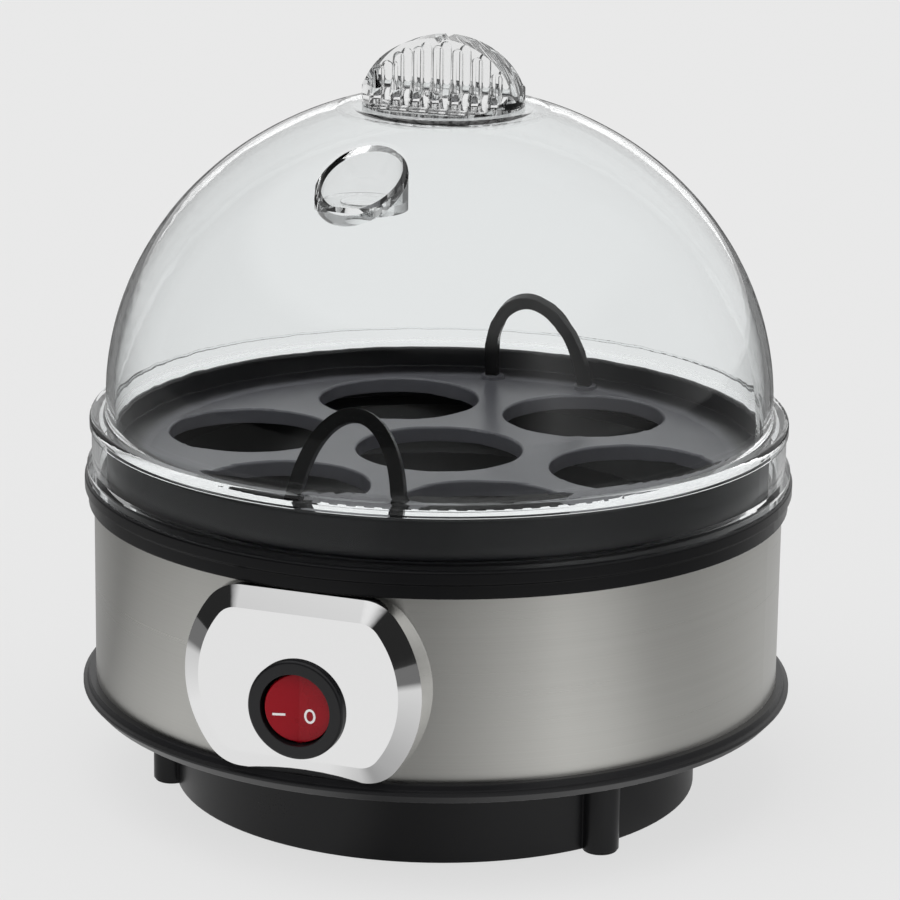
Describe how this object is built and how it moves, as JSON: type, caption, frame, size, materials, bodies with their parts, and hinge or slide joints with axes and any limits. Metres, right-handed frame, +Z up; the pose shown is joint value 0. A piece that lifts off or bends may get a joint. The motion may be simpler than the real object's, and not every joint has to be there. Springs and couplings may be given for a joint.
{
  "type": "electric egg cooker",
  "caption": "Round countertop egg steamer: clear lift-off dome lid with knob and vent, egg tray with lifting loops, brushed band, rocker switch plate, footed base.",
  "frame": {"origin": "on the table, on the round body's axis", "axes": "+Z up along the body's axis, -Y the way the switch looks, +X to the right of someone facing the switch"},
  "size_m": [0.1754, 0.1785, 0.1864],
  "materials": {
    "housing_black": "moulded black plastic, satin",
    "collar_black": "moulded black plastic, half gloss",
    "tray_black": "moulded black plastic, satin",
    "loop_black": "smooth black plastic",
    "foot_rubber": "dull black rubber",
    "band_steel": "stainless sheet brushed round the body",
    "plate_chrome": "bright chrome plating",
    "bezel_black": "black nylon, half gloss",
    "rocker_red": "deep red, glossy",
    "mark_white": "white",
    "lid_clear": "clear moulded plastic",
    "dish_dark": "dark non-stick coat on a pressed dish",
    "tube_steel": "stainless tube, heat tinted",
    "plain_steel": "zinc plated steel",
    "spreader_aluminium": "rolled aluminium",
    "terminal_brass": "plain brass",
    "ceramic_white": "white ceramic",
    "seal_rubber": "red-brown silicone",
    "sleeve_fabric": "woven glass fibre",
    "block_white": "white nylon",
    "lead_insulation": "silicone insulation",
    "inlet_black": "black moulded bush"
  },
  "bodies": {
    "base": {"bottom_housing": "housing_black", "rubber_feet": "foot_rubber", "bottom_cover": "housing_black", "cover_screws": "plain_steel", "steel_band": "band_steel", "upper_collar": "collar_black", "collar_screws": "plain_steel", "heating_plate": "dish_dark", "plate_seal": "seal_rubber", "plate_studs": "plain_steel", "heat_spreader": "spreader_aluminium", "heater_element": "tube_steel", "heater_terminals": "plain_steel", "heater_beads": "ceramic_white", "thermostat": "plain_steel", "thermostat_terminals": "terminal_brass", "thermostat_studs": "plain_steel", "thermal_fuse": "plain_steel", "fuse_sleeve": "sleeve_fabric", "fuse_clip": "plain_steel", "heat_shield": "plain_steel", "shield_studs": "plain_steel", "shield_spacers": "plain_steel", "hex_nuts": "plain_steel", "earth_tag": "terminal_brass", "switch_plate": "plate_chrome", "switch_plate_screws": "plain_steel", "switch_body": "bezel_black", "switch_terminals": "terminal_brass", "cord_inlet": "inlet_black", "cord_clamp": "block_white", "clamp_screws": "plain_steel", "terminal_block": "block_white", "terminal_screws": "plain_steel", "lead_block_switch": "lead_insulation", "lead_switch_thermostat": "lead_insulation", "lead_thermostat_fuse": "lead_insulation", "lead_fuse_heater": "lead_insulation", "lead_heater_block": "lead_insulation", "lead_earth": "lead_insulation"},
    "tray": {"egg_tray": "tray_black", "front_tray_handle": "loop_black", "rear_tray_handle": "loop_black"},
    "lid": {"lid_dome": "lid_clear", "lid_knob": "lid_clear"},
    "rocker": {"switch_rocker": "rocker_red", "rocker_marks": "mark_white"}
  },
  "joints": [
    {"name": "tray_lift", "type": "slide", "parent": "base", "child": "tray", "axis": [0, 0, 1], "range_m": [0, 0.1]},
    {"name": "lid_lift", "type": "slide", "parent": "tray", "child": "lid", "axis": [0, 0, 1], "range_m": [0, 0.12]},
    {"name": "rocker_tilt", "type": "hinge", "parent": "base", "child": "rocker", "pos_m": [0, -0.0868, 0.0453], "axis": [0, 0, -1], "range_deg": [0, 16]}
  ]
}
